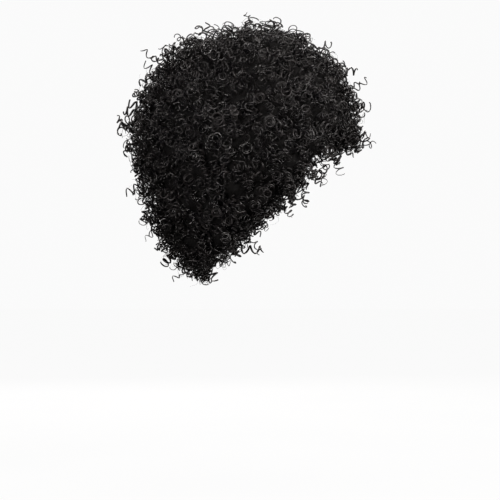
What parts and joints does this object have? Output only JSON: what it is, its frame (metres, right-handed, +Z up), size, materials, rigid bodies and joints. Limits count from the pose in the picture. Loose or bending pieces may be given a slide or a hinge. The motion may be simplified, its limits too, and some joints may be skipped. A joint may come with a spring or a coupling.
{
  "type": "afro wig",
  "caption": "Short, full afro wig of tight black ringlets with a fringe, sewn to a hollow net cap that is worn over the head.",
  "frame": {"origin": "on the inside of the cap at its crown, where the crown of the head touches it", "axes": "+Z up as worn, the wig faces -Y, and the wearer's left is +X"},
  "size_m": [0.3053, 0.3261, 0.3494],
  "materials": {
    "cap_net": "matt black net",
    "hair": "black curled fibre with a soft satin sheen"
  },
  "bodies": {
    "root": {"wig_cap": "cap_net", "crown_hair": "hair", "fringe_hair": "hair", "side_hair_left": "hair", "side_hair_right": "hair", "back_hair": "hair", "nape_hair": "hair"}
  },
  "joints": []
}
